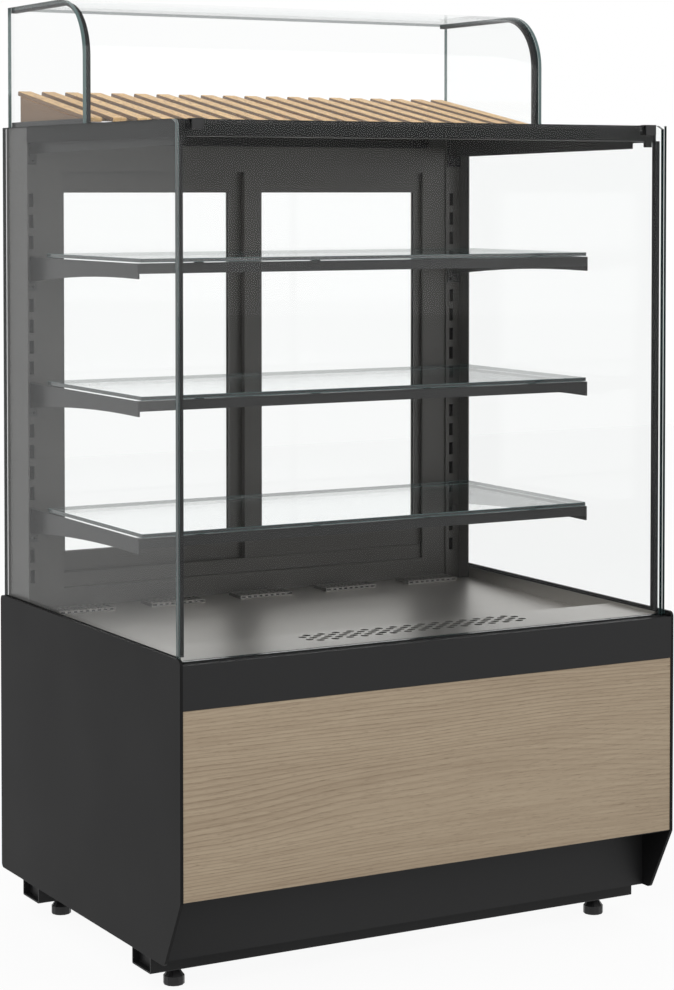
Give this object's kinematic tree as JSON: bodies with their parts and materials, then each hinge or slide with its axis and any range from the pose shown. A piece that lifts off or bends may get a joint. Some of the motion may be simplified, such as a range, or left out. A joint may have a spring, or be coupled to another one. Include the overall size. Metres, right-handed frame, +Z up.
{
  "type": "refrigerated pastry display case",
  "caption": "Free-standing refrigerated pastry case: wood-fronted base, cooled deck, hung glass shelves behind a tilting front glass, sliding rear doors and a glass dome over a bread rack.",
  "frame": {"origin": "on the floor, below the middle of the case", "axes": "+X to the right seen from the front, +Y to the back, +Z up"},
  "size_m": [0.9, 0.705, 1.529],
  "materials": {
    "dark_paint": "satin powder coat",
    "stainless": "brushed",
    "zinc_sheet": "galvanised",
    "clear_glass": "polished",
    "black_seal": "matt",
    "oak_laminate": "open grain laminate",
    "rack_wood": "oiled",
    "dark_frame": "dark anodised",
    "black_plastic": "moulded",
    "white_foam": "foam in a plastic skin",
    "black_enamel": "gloss enamel",
    "coil_metal": "mill finish",
    "copper": "drawn tube",
    "fan_plastic": "moulded",
    "lamp_body": "satin",
    "steel_screw": "plated"
  },
  "bodies": {
    "case": {"base_tray": "zinc_sheet", "canopy_arms": "dark_paint", "compressor": "black_enamel", "condenser_coil": "coil_metal", "control_panel": "dark_paint", "controller": "black_plastic", "deck_plate": "stainless", "dome_base": "dark_paint", "dome_bent_glass": "clear_glass", "dome_side_glasses": "clear_glass", "dome_trims": "black_seal", "door_tracks": "dark_frame", "evaporator_coil": "coil_metal", "fan_shroud": "black_enamel", "front_beam": "dark_paint", "front_fascia": "dark_paint", "glass_seals": "black_seal", "hinge_brackets": "steel_screw", "insulated_tub": "white_foam", "led_lamp": "lamp_body", "panel_screws": "steel_screw", "plinth_panel": "dark_paint", "power_inlet": "black_plastic", "rack_frame": "rack_wood", "rack_slats": "rack_wood", "rear_air_vents": "stainless", "rear_frame": "dark_frame", "rear_post_left": "dark_frame", "rear_post_right": "dark_frame", "rear_service_panel": "dark_paint", "refrigerant_lines": "copper", "roof_panel": "dark_paint", "shelf_frame_1": "dark_frame", "shelf_frame_2": "dark_frame", "shelf_frame_3": "dark_frame", "shelf_glass_1": "clear_glass", "shelf_glass_2": "clear_glass", "shelf_glass_3": "clear_glass", "shelf_pads": "black_seal", "side_glass_left": "clear_glass", "side_glass_right": "clear_glass", "side_panel_left": "dark_paint", "side_panel_right": "dark_paint", "switch_bezels": "black_plastic", "underframe": "dark_paint", "wood_front_panel": "oak_laminate"},
    "rear_door_left": {"rear_door_left": "dark_frame", "rear_door_left_glass": "clear_glass"},
    "rear_door_right": {"rear_door_right": "dark_frame", "rear_door_right_glass": "clear_glass"},
    "front_glass": {"front_glass": "clear_glass", "front_glass_clamps": "black_plastic"},
    "foot_front_left": {"foot_front_left": "black_plastic"},
    "foot_front_right": {"foot_front_right": "black_plastic"},
    "foot_rear_left": {"foot_rear_left": "black_plastic"},
    "foot_rear_right": {"foot_rear_right": "black_plastic"},
    "condenser_fan": {"condenser_fan": "fan_plastic"},
    "evaporator_fan": {"evaporator_fan": "fan_plastic"},
    "light_switch": {"light_switch": "black_plastic"},
    "power_switch": {"power_switch": "black_plastic"}
  },
  "joints": [
    {"name": "rear_door_left_slide", "type": "slide", "parent": "case", "child": "rear_door_left", "axis": [1, 0, 0], "range_m": [0, 0.36]},
    {"name": "rear_door_right_slide", "type": "slide", "parent": "case", "child": "rear_door_right", "axis": [-1, 0, 0], "range_m": [0, 0.36]},
    {"name": "front_glass_hinge", "type": "hinge", "parent": "case", "child": "front_glass", "pos_m": [0, -0.325, 1.319], "axis": [-1, 0, 0], "range_deg": [0, 80]},
    {"name": "foot_front_left_screw", "type": "slide", "parent": "case", "child": "foot_front_left", "axis": [0, 0, 1], "range_m": [-0.012, 0.004]},
    {"name": "foot_front_right_screw", "type": "slide", "parent": "case", "child": "foot_front_right", "axis": [0, 0, 1], "range_m": [-0.012, 0.004]},
    {"name": "foot_rear_left_screw", "type": "slide", "parent": "case", "child": "foot_rear_left", "axis": [0, 0, 1], "range_m": [-0.012, 0.004]},
    {"name": "foot_rear_right_screw", "type": "slide", "parent": "case", "child": "foot_rear_right", "axis": [0, 0, 1], "range_m": [-0.012, 0.004]},
    {"name": "condenser_fan_spin", "type": "hinge", "parent": "case", "child": "condenser_fan", "pos_m": [-0.205, 0.252, 0.1595], "axis": [0, 1, 0], "continuous": true},
    {"name": "evaporator_fan_spin", "type": "hinge", "parent": "case", "child": "evaporator_fan", "pos_m": [0, -0.0365, 0.424], "axis": [0, 1, 0], "continuous": true},
    {"name": "light_switch_rock", "type": "hinge", "parent": "case", "child": "light_switch", "pos_m": [0.146, 0.346, 0.4485], "axis": [1, 0, 0], "range_deg": [0, 16]},
    {"name": "power_switch_rock", "type": "hinge", "parent": "case", "child": "power_switch", "pos_m": [0.094, 0.346, 0.4485], "axis": [1, 0, 0], "range_deg": [0, 16]}
  ]
}
